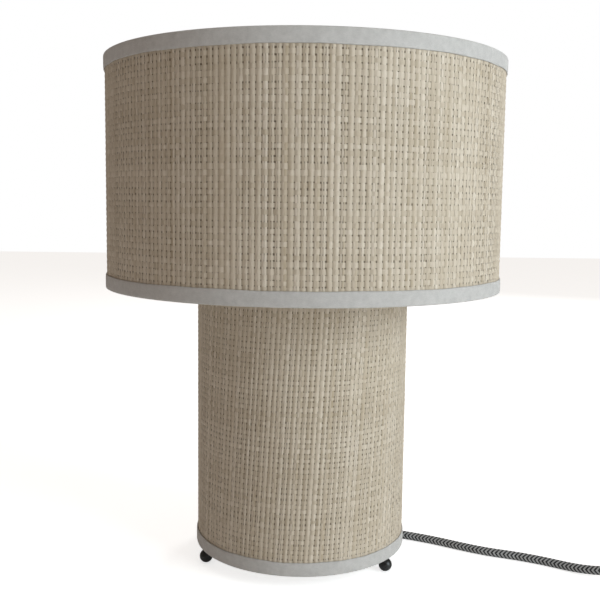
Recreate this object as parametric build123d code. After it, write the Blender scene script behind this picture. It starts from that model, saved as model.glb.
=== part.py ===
from build123d import *
import math
import os

# Table lamp: a drum shade over a drum base, both of woven raffia on a plastic liner, on three ball feet.
# Millimetres, +Z up. The origin is on the table, on the lamp's axis. -Y is the front.

# ---- overall sizes ----
SHADE_D = 298.4  # over the weave
SHADE_H = 168.2  # over the trims
SHADE_BOTTOM_Z = 211.0  # lower edge of the shade's lower trim
BASE_D = 162.8  # over the weave
BASE_TOP_Z = 230.0  # upper edge of the base's upper trim, up inside the shade

# ---- drum skins ----
WEAVE_T = 1.2
LINER_T = 0.5
TRIM_T = 0.8
TRIM_H = 10.5
TRIM_CORNER_R = 0.6
INNER_TAPE_H = 9.0  # how far the tape runs down the liner's inside
TAPE_SLOPE = 2.0  # drop of the fold from the wire back to the liner
SLIT_GAP = 0.5  # beside an arm that passes through the tape

# ---- wire frames ----
BASE_WIRE_D = 4.0
SHADE_WIRE_D = 3.5
ARM_COUNT = 3
FIRST_ARM_DEG = 85.0  # heading of the first arm and foot, from +X
WELD_GAP = 11.0  # level stretch of an arm beside its ring
ARM_BEND_R = 9.0
CUT_PAST = 1.0  # how far a cut runs past the piece it is made in

# ---- ball feet ----
BALL_D = 10.0
BALL_NECK_D = 3.4
NECK_GAP = 0.1  # between a neck and the tape it passes through
FOOT_OUTSET = 1.3  # the ball stands this much further out than its neck

# ---- stem ----
STEM_D = 10.0
STEM_WALL = 1.0
STEM_BOTTOM_Z = 68.0
HUB_RIM = 11.0  # from the stem to the hub's edge
HUB_T = 2.0
HUB_HOLE_CLEARANCE = 0.2
LOWER_HUB_Z = 84.0  # underside of the lower hub plate
NUT_WALL = 2.0  # from the stem to the nut's flats
NUT_T = 4.0
WASHER_RIM = 5.0
WASHER_T = 1.2
ARM_TO_WASHER = 1.0

# ---- cord grip at the foot of the stem ----
GRIP_TOP_Z = 76.0
GRIP_BOTTOM_Z = 56.0
GRIP_WALL = 2.0  # round the stem
GRIP_LIP = 1.45  # round the cord at the grip's foot
GRIP_SCREW_D = 3.0
GRIP_SCREW_Z = 63.0
GRIP_SCREW_PROUD = 1.0
GRIP_TAPER_GAP = 1.0  # from the stem's foot down to the top of the taper

# ---- lamp holder, heights above its foot ----
HOLDER_GAP = 1.6  # between the stem's top nut and the holder
CAP_NECK_WALL = 3.5
CAP_NECK_H = 9.0
CAP_STEP = 0.7  # the cap's side lies this far inside the body's
CAP_SHOULDER_H = 15.0
CAP_H = 22.0
STEM_IN_CAP = 10.0
BODY_D = 39.4
BODY_TOP_H = 54.0
BODY_WALL = 3.1
BODY_LIP_T = 2.5
BODY_MOUTH_D = 29.2
SPIGOT_H = 5.0
SPIGOT_WALL = 0.9
CORE_BOTTOM_H = 18.0
CORE_STEP_H = 26.0
CORE_TOP_H = 29.5
CORE_STEP_D = 24.8
SHELL_D = 28.2
SHELL_T = 0.4
SHELL_TOP_H = 50.0
CONTACT_D = 8.0
CONTACT_T = 0.5
TERMINAL_X = 9.0
TERMINAL_SIZE = (6.0, 7.0, 5.0)
TERMINAL_SCREW_D = 3.0
WIRE_CORE_D = 2.2
WIRE_APART = 0.1
SHEATH_BELOW = 4.0  # the cord's sheath ends this far below the stem's top
GRUB_D = 3.0
GRUB_Z = 4.5
PART_GAP = 0.05  # slip gap between pieces that fit in each other
CAP_OVER_STEM = 1.0  # room in the cap above the stem's top
GRUB_PROUD = 0.4
TERMINAL_SCREW_PROUD = 1.2
TERMINAL_SCREW_END = 0.5  # from the terminal's middle
WIRE_RISE = 0.8  # straight rise of each wire before it turns out
WIRE_END_Y = 1.0
WIRE_BEND_R = 2.0

# ---- shade gallery: two rings on the holder's thread with the fitter plate between them ----
LOWER_RING_H = 22.0
LOWER_RING_WALL = 4.3
UPPER_RING_WALL = 5.8
UPPER_RING_T = 7.5
RING_TO_BODY = 0.1
FITTER_H = 27.0  # underside of the fitter plate above the holder's foot
FITTER_T = 1.5
FITTER_RIM = 4.5  # beyond the upper ring
FITTER_CLEARANCE = 0.8  # round the holder
FITTER_ARM_START = 2.0  # from the lower ring to the arms' ends
GRIP_NOTCH_COUNT = 24
GRIP_NOTCH_D = 2.0
GRIP_NOTCH_OUTSET = 0.5  # a notch's centre stands this far outside the rim

# ---- bulb, heights above its contact tip ----
BULB_GAP = 0.3  # tip to centre contact
BULB_L = 78.0
GLOBE_D = 45.0
GLASS_T = 1.0
TIP_D = 9.0
TIP_T = 1.2
CAP_START_H = 4.6
CAP_END_H = 25.0
CAP_THREAD_D = 26.3
CAP_ROOT_D = 24.6
CAP_BORE_D = 23.6
CAP_TURNS = 5
COLLAR_D = 34.4
COLLAR_T = 1.2
BOARD_D = 30.0
BOARD_T = 1.6
BOARD_OVER_SEAM = 1.0
POST_D = 10.0
POST_WALL = 1.0

# ---- in-line switch ----
SWITCH_X = 277.0
SWITCH_Y = -58.0
SWITCH_L = 62.0
SWITCH_W = 27.0
SWITCH_SPLIT_Z = 7.5
SWITCH_TOP_Z = 19.0
SWITCH_CORNER_R = 9.0
SWITCH_WALL = 2.0
SWITCH_EDGE_R = 2.5
CORD_IN_SWITCH = 28.0  # from the middle of the switch to where the sheath ends inside it
SWITCH_FOOT_R = 1.0
CORD_HOLE_MARGIN = 2.0  # the cord holes run this far past the end walls
ROCKER_END_GAP = 1.0
ROCKER_SIDE_GAP = 0.4
ROCKER_L = 20.0
ROCKER_W = 12.4
ROCKER_AXIS_DROP = 5.5  # below the top of the switch
ROCKER_UP = 6.9
ROCKER_DISH = 1.9
ROCKER_DOWN = 3.6
ROCKER_TILT = 7.0
ROCKER_CHAMFER_H = 1.6
ROCKER_CHAMFER_L = 3.0
PIN_D = 2.4
PIN_CLEARANCE = 0.05
LUG_T = 2.6
LUG_L = 6.0
LUG_SIDE_GAP = 0.6
LUG_BELOW_AXIS = 2.7
SCREW_FROM_END = 10.0
SCREW_FROM_SIDE = 4.8
SCREW_D = 2.6
SCREW_HEAD_D = 5.0
SCREW_HEAD_T = 1.4
SCREW_SUNK = 0.4
SCREW_BOSS_D = 6.6
SCREW_BITE = 6.5  # into the cover
CONTACT_STRIP = (12.0, 3.4, 0.8)
SWITCH_TERMINAL = (8.0, 4.4, 4.2)
SWITCH_TERMINALS = [(-14.0, -3.8), (14.0, -3.8), (0.0, 6.0)]

# ---- cord ----
CORD_D = 6.5
CORD_Z = 3.3  # axis of a cord that lies on the table
BORE_CLEARANCE = 0.1
LEAD = [
    (0, 0, GRIP_BOTTOM_Z),
    (0, 0, 38),
    (7, 3.9, 20),
    (21, 11.5, 7),
    (41, 21.8, CORD_Z),
    (65.5, 26.5, CORD_Z),
    (88, 18.2, CORD_Z),
    (110, 7.6, CORD_Z),
    (132, -6, CORD_Z),
    (149, -15, CORD_Z),
    (168, -21.5, CORD_Z),
    (188, -31, CORD_Z),
    (205, -42, CORD_Z),
    (218.5, -51.5, 4.9),
    (233, SWITCH_Y, SWITCH_SPLIT_Z),
    (SWITCH_X - CORD_IN_SWITCH, SWITCH_Y, SWITCH_SPLIT_Z),
]
LINK = [
    (SWITCH_X + CORD_IN_SWITCH, SWITCH_Y, SWITCH_SPLIT_Z),
    (319, SWITCH_Y, SWITCH_SPLIT_Z),
    (334, -52.2, 5.6),
    (345.9, -41.3, 3.9),
    (353, -26.9, CORD_Z),
    (354.9, -10.9, CORD_Z),
    (355.8, 3.8, CORD_Z),
]
TAIL = [
    (353.6, 28.2, 9.9),
    (348, 45, 9.7),
    (342.4, 60, 8.4),
    (340, 74, 7.0),
    (340, 84, 7.0),
]
COIL_CENTRE = (309, 12)
COIL_OUTER_R = 47.5
COIL_TURNS_IN_LAYER = 2.55
TURN_PITCH = 6.7
COIL_LAYERS = 2
COIL_EDGE_R = 3.0
TIE_DEG = 100.0
TIE_W = 12.0
TIE_T = 1.2

# ---- plug ----
PLUG_X = 340.0
PLUG_Y = 78.0  # cord end of the strain relief
PLUG_Z = 7.0
RELIEF_L = 22.0
RELIEF_START_D = 9.0
RELIEF_END_D = 11.0
CORD_IN_RELIEF = 18.0
PLUG_L = 33.0
PLUG_SWELL_L = 18.2  # from the plug's neck to its widest section
PLUG_FACE_TAPER = 0.8
PLUG_W = 26.4
PLUG_T = 13.6
PLUG_NECK_W = 12.0
PLUG_EDGE_R = 3.0
PLUG_PIN_SPACING = 18.6
PLUG_PIN_D = 4.0
PLUG_PIN_L = 19.0
PLUG_SLEEVE_L = 10.0
PLUG_SLEEVE_D = 3.6
PLUG_PIN_CORE_D = 3.0
PLUG_PIN_BURIED = 12.0

# ---- worked out from the sizes above ----
STEM_BORE_D = STEM_D - 2 * STEM_WALL
HUB_D = STEM_D + 2 * HUB_RIM
NUT_FLATS = STEM_D + 2 * NUT_WALL
WASHER_D = STEM_D + 2 * WASHER_RIM
GRIP_TOP_D = STEM_D + 2 * GRIP_WALL
GRIP_BOTTOM_D = CORD_D + 2 * (BORE_CLEARANCE + GRIP_LIP)
CAP_NECK_D = STEM_D + 2 * CAP_NECK_WALL
CAP_D = BODY_D - 2 * CAP_STEP
LOWER_RING_D = BODY_D + 2 * LOWER_RING_WALL
UPPER_RING_D = BODY_D + 2 * UPPER_RING_WALL
FITTER_D = UPPER_RING_D + 2 * FITTER_RIM
FITTER_HOLE_D = BODY_D + 2 * FITTER_CLEARANCE
OPENING_L = ROCKER_L + 2 * ROCKER_END_GAP
OPENING_W = ROCKER_W + 2 * ROCKER_SIDE_GAP
ROCKER_AXIS_Z = SWITCH_TOP_Z - ROCKER_AXIS_DROP
PIN_L = OPENING_W + 2 * (LUG_SIDE_GAP + LUG_T)
LUG_DROP_Z = ROCKER_AXIS_Z - LUG_BELOW_AXIS
SCREW_END_Z = SWITCH_SPLIT_Z + SCREW_BITE
SCREW_X = SWITCH_L / 2 - SCREW_FROM_END
SCREW_Y = SWITCH_W / 2 - SCREW_FROM_SIDE
SWITCH_SCREWS = [(-SCREW_X, SCREW_Y), (SCREW_X, -SCREW_Y)]
SHADE_R = SHADE_D / 2
BASE_R = BASE_D / 2
SHADE_TOP_Z = SHADE_BOTTOM_Z + SHADE_H
BASE_BOTTOM_Z = BALL_D
BASE_RING_R = BASE_R - WEAVE_T - LINER_T - BASE_WIRE_D / 2
SHADE_RING_R = SHADE_R - WEAVE_T - LINER_T - SHADE_WIRE_D / 2
BASE_RING_LOW_Z = BASE_BOTTOM_Z + TRIM_T + BASE_WIRE_D / 2
BASE_RING_TOP_Z = BASE_TOP_Z - TRIM_T - BASE_WIRE_D / 2
SHADE_RING_LOW_Z = SHADE_BOTTOM_Z + TRIM_T + SHADE_WIRE_D / 2
SHADE_RING_TOP_Z = SHADE_TOP_Z - TRIM_T - SHADE_WIRE_D / 2
UPPER_HUB_Z = BASE_RING_TOP_Z + BASE_WIRE_D / 2
ARM_START_R = WASHER_D / 2 + ARM_TO_WASHER
HOLDER_Z = UPPER_HUB_Z + HUB_T + WASHER_T + NUT_T + HOLDER_GAP
FITTER_Z = HOLDER_Z + FITTER_H
BULB_Z = HOLDER_Z + CORE_TOP_H + CONTACT_T + BULB_GAP
COIL_INNER_R = COIL_OUTER_R - COIL_TURNS_IN_LAYER * TURN_PITCH
COIL_H = CORD_Z + CORD_D * (COIL_LAYERS - 1) + CORD_D / 2
ARM_HEADINGS = [FIRST_ARM_DEG + 360 / ARM_COUNT * i for i in range(ARM_COUNT)]


def rod(radius, z0, z1):
    return Pos(0, 0, z0) * Cylinder(radius, z1 - z0, align=(Align.CENTER, Align.CENTER, Align.MIN))


def tube(outer_r, inner_r, z0, z1):
    return rod(outer_r, z0, z1) - rod(inner_r, z0, z1)


def turned(points):
    """A solid of revolution about Z from (radius, height) corners."""
    return revolve(make_face(Plane.XZ * Polyline(*points, close=True)), Axis.Z)


def block(size, centre_xy, z0):
    return Pos(centre_xy[0], centre_xy[1], z0) * Box(*size, align=(Align.CENTER, Align.CENTER, Align.MIN))


def bent_rod(points, radius, bends):
    """A round wire along points, with arcs at its corners."""
    path = FilletPolyline(*points, radius=bends)
    start = Plane(path @ 0, z_dir=path % 0)
    return sweep(start * Circle(radius), path)


def straight_rod(start, end, radius):
    """A round bar from start to end."""
    axis = Vector(*end) - Vector(*start)
    return extrude(Plane(start, z_dir=axis) * Circle(radius), axis.length)


# ---------------------------------------------------------------- drums


def rim_tape(edge_z, skin_r, wire_d, upwards):
    """The tape that wraps a drum's rim: down the weave, over the edge, round the wire and up the liner."""
    liner_in = skin_r - WEAVE_T - LINER_T
    wire_in = liner_in - wire_d
    section = Polyline(
        (skin_r, TRIM_T - TRIM_H),
        (skin_r + TRIM_T, TRIM_T - TRIM_H),
        (skin_r + TRIM_T, TRIM_T),
        (wire_in - TRIM_T, TRIM_T),
        (wire_in - TRIM_T, -wire_d),
        (liner_in - TRIM_T, -wire_d - TAPE_SLOPE),
        (liner_in - TRIM_T, -INNER_TAPE_H),
        (liner_in, -INNER_TAPE_H),
        (liner_in, -wire_d - TAPE_SLOPE + TRIM_T / 2),
        (wire_in, -wire_d),
        (wire_in, 0),
        (skin_r, 0),
        close=True,
    )
    face = make_face(section)
    corners = [v for v in face.vertices() if abs(v.Y - TRIM_T) < 0.01]
    ring = revolve(Plane.XZ * fillet(corners, TRIM_CORNER_R), Axis.Z)
    if not upwards:
        ring = mirror(ring, Plane.XY)
    return Pos(0, 0, edge_z) * ring


def arm_slit(skin_r, wire_d, edge_z, upwards, heading):
    """The slit in the tape's inner fold that an arm passes through, open at the fold's free edge."""
    liner_in = skin_r - WEAVE_T - LINER_T
    end_r = liner_in + LINER_T / 2
    start_r = liner_in - wire_d - 4 * TRIM_T
    height = INNER_TAPE_H + TRIM_T
    low = edge_z - height if upwards else edge_z
    slit = block((end_r - start_r, wire_d + 2 * SLIT_GAP, height), ((start_r + end_r) / 2, 0), low)
    return Rot(0, 0, heading) * slit


def wire_ring(radius, z, wire_d):
    return Pos(0, 0, z) * Torus(radius, wire_d / 2)


def drum_skins(prefix, skin_r, low_z, high_z):
    """The weave and the liner behind it, between the folds of the two trims."""
    low, high = low_z + TRIM_T, high_z - TRIM_T
    return {
        prefix + "_raffia": tube(skin_r, skin_r - WEAVE_T, low, high),
        prefix + "_liner": tube(skin_r - WEAVE_T, skin_r - WEAVE_T - LINER_T, low, high),
    }


# ---------------------------------------------------------------- base frame


def ball_foot(heading):
    """A ball with a short neck welded to the underside of the base's lower ring."""
    ball = Pos(BASE_RING_R + FOOT_OUTSET, 0, BALL_D / 2) * Sphere(BALL_D / 2)
    neck = Pos(BASE_RING_R, 0, 0) * rod(BALL_NECK_D / 2, BALL_D / 2, BASE_RING_LOW_Z)
    foot = ball + neck - wire_ring(BASE_RING_R, BASE_RING_LOW_Z, BASE_WIRE_D) - lower_arm(0)
    return Rot(0, 0, heading) * foot


def lower_arm(heading):
    """From the lower ring, level and then up to the underside of the lower hub."""
    hub_z = LOWER_HUB_Z - BASE_WIRE_D / 2
    path = [
        (BASE_RING_R, 0, BASE_RING_LOW_Z),
        (BASE_RING_R - WELD_GAP, 0, BASE_RING_LOW_Z),
        (ARM_START_R + WELD_GAP, 0, hub_z),
        (ARM_START_R, 0, hub_z),
    ]
    arm = bent_rod(path, BASE_WIRE_D / 2, ARM_BEND_R)
    return Rot(0, 0, heading) * (arm - wire_ring(BASE_RING_R, BASE_RING_LOW_Z, BASE_WIRE_D))


def upper_arm(heading):
    z = BASE_RING_TOP_Z
    arm = straight_rod((ARM_START_R, 0, z), (BASE_RING_R, 0, z), BASE_WIRE_D / 2)
    return Rot(0, 0, heading) * (arm - wire_ring(BASE_RING_R, BASE_RING_TOP_Z, BASE_WIRE_D))


def hub_plate(z):
    return tube(HUB_D / 2, STEM_D / 2 + HUB_HOLE_CLEARANCE, z, z + HUB_T)


def spider(arm, hub_z):
    """Three arms and the hub plate that is welded on top of them."""
    return Compound([hub_plate(hub_z)] + [arm(h) for h in ARM_HEADINGS])


def stem_nut(z):
    hexagon = RegularPolygon(NUT_FLATS / 2, 6, major_radius=False)
    return Pos(0, 0, z) * extrude(hexagon, NUT_T) - rod(STEM_D / 2, z, z + NUT_T)


def stem_washer(z):
    return tube(WASHER_D / 2, STEM_D / 2 + HUB_HOLE_CLEARANCE, z, z + WASHER_T)


def base_frame():
    nodes = {
        "base_bottom_ring": wire_ring(BASE_RING_R, BASE_RING_LOW_Z, BASE_WIRE_D),
        "base_top_ring": wire_ring(BASE_RING_R, BASE_RING_TOP_Z, BASE_WIRE_D),
        "base_bottom_spider": spider(lower_arm, LOWER_HUB_Z),
        "base_top_spider": spider(upper_arm, UPPER_HUB_Z),
        "stem_tube": tube(STEM_D / 2, STEM_BORE_D / 2, STEM_BOTTOM_Z, HOLDER_Z + STEM_IN_CAP),
    }
    for number, heading in enumerate(ARM_HEADINGS, 1):
        nodes[f"foot_ball_{number}"] = ball_foot(heading)
    hubs = (LOWER_HUB_Z, UPPER_HUB_Z)
    nodes["stem_washers"] = Compound(
        [stem_washer(z) for hub in hubs for z in (hub - WASHER_T, hub + HUB_T)]
    )
    nodes["stem_nuts"] = Compound(
        [stem_nut(z) for hub in hubs for z in (hub - WASHER_T - NUT_T, hub + HUB_T + WASHER_T)]
    )
    return nodes


def base_drum():
    nodes = drum_skins("base", BASE_R, BASE_BOTTOM_Z, BASE_TOP_Z)
    low = rim_tape(BASE_BOTTOM_Z + TRIM_T, BASE_R, BASE_WIRE_D, False)
    high = rim_tape(BASE_TOP_Z - TRIM_T, BASE_R, BASE_WIRE_D, True)
    neck_hole = Pos(BASE_RING_R, 0, 0) * rod(BALL_NECK_D / 2 + NECK_GAP, 0, BASE_RING_LOW_Z)
    for heading in ARM_HEADINGS:
        low -= arm_slit(BASE_R, BASE_WIRE_D, BASE_BOTTOM_Z + TRIM_T, False, heading)
        low -= Rot(0, 0, heading) * neck_hole
        high -= arm_slit(BASE_R, BASE_WIRE_D, BASE_TOP_Z - TRIM_T, True, heading)
    nodes["base_trim_bottom"] = low
    nodes["base_trim_top"] = high
    return nodes


def cord_grip():
    """A tapered nylon bush on the stem's foot, and the screw that pinches the cord in it."""
    bore_r = CORD_D / 2 + BORE_CLEARANCE
    body = turned(
        [
            (bore_r, GRIP_BOTTOM_Z),
            (GRIP_BOTTOM_D / 2, GRIP_BOTTOM_Z),
            (GRIP_TOP_D / 2, STEM_BOTTOM_Z - GRIP_TAPER_GAP),
            (GRIP_TOP_D / 2, GRIP_TOP_Z),
            (STEM_D / 2, GRIP_TOP_Z),
            (STEM_D / 2, STEM_BOTTOM_Z),
            (bore_r, STEM_BOTTOM_Z),
        ]
    )
    head_y = -GRIP_TOP_D / 2 - GRIP_SCREW_PROUD
    screw = straight_rod((0, -bore_r, GRIP_SCREW_Z), (0, head_y, GRIP_SCREW_Z), GRIP_SCREW_D / 2)
    return {"cord_grip": body - screw, "cord_grip_screw": screw}


# ---------------------------------------------------------------- lamp holder


def holder():
    foot = HOLDER_Z
    stem_r = STEM_D / 2 + PART_GAP
    cap_r, neck_r, body_r = CAP_D / 2, CAP_NECK_D / 2, BODY_D / 2
    bore_r = body_r - BODY_WALL
    spigot_r = bore_r + SPIGOT_WALL
    cap = turned(
        [
            (stem_r, foot),
            (neck_r, foot),
            (neck_r, foot + CAP_NECK_H),
            (cap_r, foot + CAP_SHOULDER_H),
            (cap_r, foot + CAP_H),
            (spigot_r + PART_GAP, foot + CAP_H),
            (spigot_r + PART_GAP, foot + CAP_SHOULDER_H),
            (neck_r, foot + STEM_IN_CAP + CAP_OVER_STEM),
            (stem_r, foot + STEM_IN_CAP + CAP_OVER_STEM),
        ]
    )
    grub = straight_rod((0, -stem_r, foot + GRUB_Z), (0, -neck_r - GRUB_PROUD, foot + GRUB_Z), GRUB_D / 2)
    body = turned(
        [
            (bore_r, foot + CAP_H - SPIGOT_H),
            (spigot_r, foot + CAP_H - SPIGOT_H),
            (spigot_r, foot + CAP_H),
            (body_r, foot + CAP_H),
            (body_r, foot + BODY_TOP_H),
            (BODY_MOUTH_D / 2, foot + BODY_TOP_H),
            (BODY_MOUTH_D / 2, foot + BODY_TOP_H - BODY_LIP_T),
            (bore_r, foot + BODY_TOP_H - BODY_LIP_T),
        ]
    )
    core = rod(bore_r - PART_GAP, foot + CORE_BOTTOM_H, foot + CORE_STEP_H)
    core += rod(CORE_STEP_D / 2, foot + CORE_STEP_H, foot + CORE_TOP_H)
    shell = tube(SHELL_D / 2, SHELL_D / 2 - SHELL_T, foot + CORE_STEP_H, foot + SHELL_TOP_H)
    shell += tube(SHELL_D / 2, CORE_STEP_D / 2 + PART_GAP, foot + CORE_STEP_H, foot + CORE_STEP_H + SHELL_T)
    contact = rod(CONTACT_D / 2, foot + CORE_TOP_H, foot + CORE_TOP_H + CONTACT_T)
    terminal_z = foot + CORE_BOTTOM_H - TERMINAL_SIZE[2]
    middle_z = terminal_z + TERMINAL_SIZE[2] / 2
    terminals, screws, wires = [], [], []
    for side in (-1, 1):
        terminal = block(TERMINAL_SIZE, (side * TERMINAL_X, 0), terminal_z)
        screw = straight_rod(
            (side * TERMINAL_X, -TERMINAL_SIZE[1] / 2 - TERMINAL_SCREW_PROUD, middle_z),
            (side * TERMINAL_X, -TERMINAL_SCREW_END, middle_z),
            TERMINAL_SCREW_D / 2,
        )
        wire = bent_rod(
            [
                (side * (WIRE_CORE_D / 2 + WIRE_APART), 0, foot + STEM_IN_CAP - SHEATH_BELOW),
                (side * (WIRE_CORE_D / 2 + WIRE_APART), 0, foot + STEM_IN_CAP + WIRE_RISE),
                (side * (TERMINAL_X - TERMINAL_SIZE[0] / 2), WIRE_END_Y, middle_z),
            ],
            WIRE_CORE_D / 2,
            WIRE_BEND_R,
        )
        terminals.append(terminal - screw)
        screws.append(screw)
        wires.append(wire - terminal)
    return {
        "holder_cap": cap - grub,
        "holder_grub_screw": grub,
        "holder_body": body,
        "holder_core": core,
        "holder_screw_shell": shell,
        "holder_centre_contact": contact,
        "holder_terminals": Compound(terminals),
        "terminal_screws": Compound(screws),
        "stem_wires": Compound(wires),
    }


def gallery_ring(outer_d, z0, z1):
    """A ring for the holder's thread, notched round its rim for the fingers."""
    ring = tube(outer_d / 2, BODY_D / 2 + RING_TO_BODY, z0, z1)
    for i in range(GRIP_NOTCH_COUNT):
        angle = 2 * math.pi * i / GRIP_NOTCH_COUNT
        at = (outer_d / 2 + GRIP_NOTCH_OUTSET) * Vector(math.cos(angle), math.sin(angle), 0)
        ring -= Pos(at.X, at.Y, 0) * rod(GRIP_NOTCH_D / 2, z0, z1)
    return ring


def shade_arm(heading):
    """From the shade's lower ring, up over the top of the base, to the underside of the fitter plate."""
    z = FITTER_Z - SHADE_WIRE_D / 2
    inner = LOWER_RING_D / 2 + FITTER_ARM_START
    path = [
        (SHADE_RING_R, 0, SHADE_RING_LOW_Z),
        (SHADE_RING_R - WELD_GAP, 0, SHADE_RING_LOW_Z),
        (inner + WELD_GAP, 0, z),
        (inner, 0, z),
    ]
    arm = bent_rod(path, SHADE_WIRE_D / 2, ARM_BEND_R)
    return Rot(0, 0, heading) * (arm - wire_ring(SHADE_RING_R, SHADE_RING_LOW_Z, SHADE_WIRE_D))


def shade():
    nodes = drum_skins("shade", SHADE_R, SHADE_BOTTOM_Z, SHADE_TOP_Z)
    low = rim_tape(SHADE_BOTTOM_Z + TRIM_T, SHADE_R, SHADE_WIRE_D, False)
    for heading in ARM_HEADINGS:
        low -= arm_slit(SHADE_R, SHADE_WIRE_D, SHADE_BOTTOM_Z + TRIM_T, False, heading)
    nodes["shade_arms"] = Compound([shade_arm(heading) for heading in ARM_HEADINGS])
    nodes["shade_trim_bottom"] = low
    nodes["shade_trim_top"] = rim_tape(SHADE_TOP_Z - TRIM_T, SHADE_R, SHADE_WIRE_D, True)
    nodes["shade_bottom_ring"] = wire_ring(SHADE_RING_R, SHADE_RING_LOW_Z, SHADE_WIRE_D)
    nodes["shade_top_ring"] = wire_ring(SHADE_RING_R, SHADE_RING_TOP_Z, SHADE_WIRE_D)
    nodes["shade_fitter_plate"] = tube(FITTER_D / 2, FITTER_HOLE_D / 2, FITTER_Z, FITTER_Z + FITTER_T)
    nodes["gallery_ring_lower"] = gallery_ring(LOWER_RING_D, HOLDER_Z + LOWER_RING_H, FITTER_Z)
    top = FITTER_Z + FITTER_T
    nodes["gallery_ring_upper"] = gallery_ring(UPPER_RING_D, top, top + UPPER_RING_T)
    return nodes


# ---------------------------------------------------------------- bulb


def bulb_cap():
    """A thin screw shell with a rounded thread, drawn as rings."""
    pitch = (CAP_END_H - CAP_START_H) / CAP_TURNS
    root, crest, bore = CAP_ROOT_D / 2, CAP_THREAD_D / 2, CAP_BORE_D / 2
    edges = []
    for i in range(CAP_TURNS):
        low = CAP_START_H + i * pitch
        edges.append(ThreePointArc((root, low), (crest, low + pitch / 2), (root, low + pitch)))
    edges.append(Polyline((root, CAP_END_H), (bore, CAP_END_H), (bore, CAP_START_H), (root, CAP_START_H)))
    return revolve(make_face(Plane.XZ * Curve(edges)), Axis.Z)


def bulb():
    globe_r, collar_r = GLOBE_D / 2, COLLAR_D / 2
    centre = BULB_L - globe_r
    seam = centre - math.sqrt(globe_r**2 - collar_r**2)
    glass = Pos(0, 0, centre) * (Sphere(globe_r) - Sphere(globe_r - GLASS_T))
    glass -= rod(globe_r, centre - globe_r - CUT_PAST, seam)
    root = CAP_ROOT_D / 2
    collar = turned(
        [
            (root, CAP_END_H),
            (collar_r, seam),
            (collar_r - COLLAR_T, seam),
            (root - COLLAR_T, CAP_END_H + COLLAR_T),
            (root - COLLAR_T, CAP_END_H),
        ]
    )
    insulator = turned([(0, TIP_T), (TIP_D / 2, TIP_T), (root, CAP_START_H), (0, CAP_START_H)])
    board_z = seam + BOARD_OVER_SEAM
    nodes = {
        "bulb_globe": glass,
        "bulb_collar": collar,
        "bulb_cap": bulb_cap(),
        "bulb_insulator": insulator,
        "bulb_tip": rod(TIP_D / 2, 0, TIP_T),
        "bulb_led_board": rod(BOARD_D / 2, board_z, board_z + BOARD_T),
        "bulb_board_post": tube(POST_D / 2, POST_D / 2 - POST_WALL, CAP_START_H, board_z),
    }
    return {name: Pos(0, 0, BULB_Z) * solid for name, solid in nodes.items()}


# ---------------------------------------------------------------- cord


def corner_radii(points):
    """The arc at each corner: 0.45 of its shorter run, over the tangent of half its turn."""
    radii = []
    for a, b, c in zip(points, points[1:], points[2:]):
        before, after = Vector(*b) - Vector(*a), Vector(*c) - Vector(*b)
        turn = math.radians(before.get_angle(after))
        radii.append(0.45 * min(before.length, after.length) / math.tan(turn / 2))
    return radii


def cord_run(name, points):
    radii = corner_radii(points)
    print(name, "corner radii", [round(r, 1) for r in radii])
    path = FilletPolyline(*points, radius=radii)
    run = bent_rod(points, CORD_D / 2, radii)
    expected = math.pi * (CORD_D / 2) ** 2 * path.length
    print(name, "length", round(path.length, 1), "volume ratio", round(run.volume / expected, 5))
    return run


def coil_ring(grow=0.0):
    """The outer shape of the coil: two layers of turns, each a diameter high."""
    section = Pos((COIL_INNER_R + COIL_OUTER_R) / 2, COIL_H / 2) * RectangleRounded(
        COIL_OUTER_R - COIL_INNER_R + CORD_D + 2 * grow, COIL_H + 2 * grow, COIL_EDGE_R
    )
    return Pos(COIL_CENTRE[0], COIL_CENTRE[1], 0) * revolve(Plane.XZ * section, Axis.Z)


def coil_tie():
    """A band round the bundle of turns at one place, flat under it, so it doesn't lift the coil."""
    width = COIL_OUTER_R - COIL_INNER_R + CORD_D + 2 * TIE_T
    middle = (COIL_OUTER_R + COIL_INNER_R) / 2
    outer = block((width, TIE_W, COIL_H + TIE_T), (middle, 0), 0)
    band = Pos(COIL_CENTRE[0], COIL_CENTRE[1], 0) * Rot(0, 0, TIE_DEG) * outer
    return band - coil_ring()


def cord():
    coil = coil_ring()
    bore_cord = rod(CORD_D / 2, GRIP_BOTTOM_Z, HOLDER_Z + STEM_IN_CAP - SHEATH_BELOW)
    return {
        "stem_cord": bore_cord,
        "cord_lead": cord_run("cord_lead", LEAD),
        "cord_link": cord_run("cord_link", LINK) - coil,
        "cord_coil": coil,
        "cord_tail": cord_run("cord_tail", TAIL) - coil,
        "cord_tie": coil_tie(),
    }


# ---------------------------------------------------------------- in-line switch


def switch_shell(z0, z1):
    """A rounded block with a wall all round, open where the halves meet."""
    outline = RectangleRounded(SWITCH_L, SWITCH_W, SWITCH_CORNER_R)
    inner_l, inner_w = SWITCH_L - 2 * SWITCH_WALL, SWITCH_W - 2 * SWITCH_WALL
    inner = RectangleRounded(inner_l, inner_w, SWITCH_CORNER_R - SWITCH_WALL)
    return extrude(Pos(0, 0, z0) * outline, z1 - z0), inner


def switch_bosses(z0, z1):
    return [Pos(x, y, 0) * rod(SCREW_BOSS_D / 2, z0, z1) for x, y in SWITCH_SCREWS]


def switch_screw_solids():
    screws = []
    for x, y in SWITCH_SCREWS:
        shaft = Pos(x, y, 0) * rod(SCREW_D / 2, SCREW_HEAD_T, SCREW_END_Z)
        head = Pos(x, y, 0) * rod(SCREW_HEAD_D / 2, SCREW_SUNK, SCREW_SUNK + SCREW_HEAD_T)
        screws.append(shaft + head)
    return screws


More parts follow.
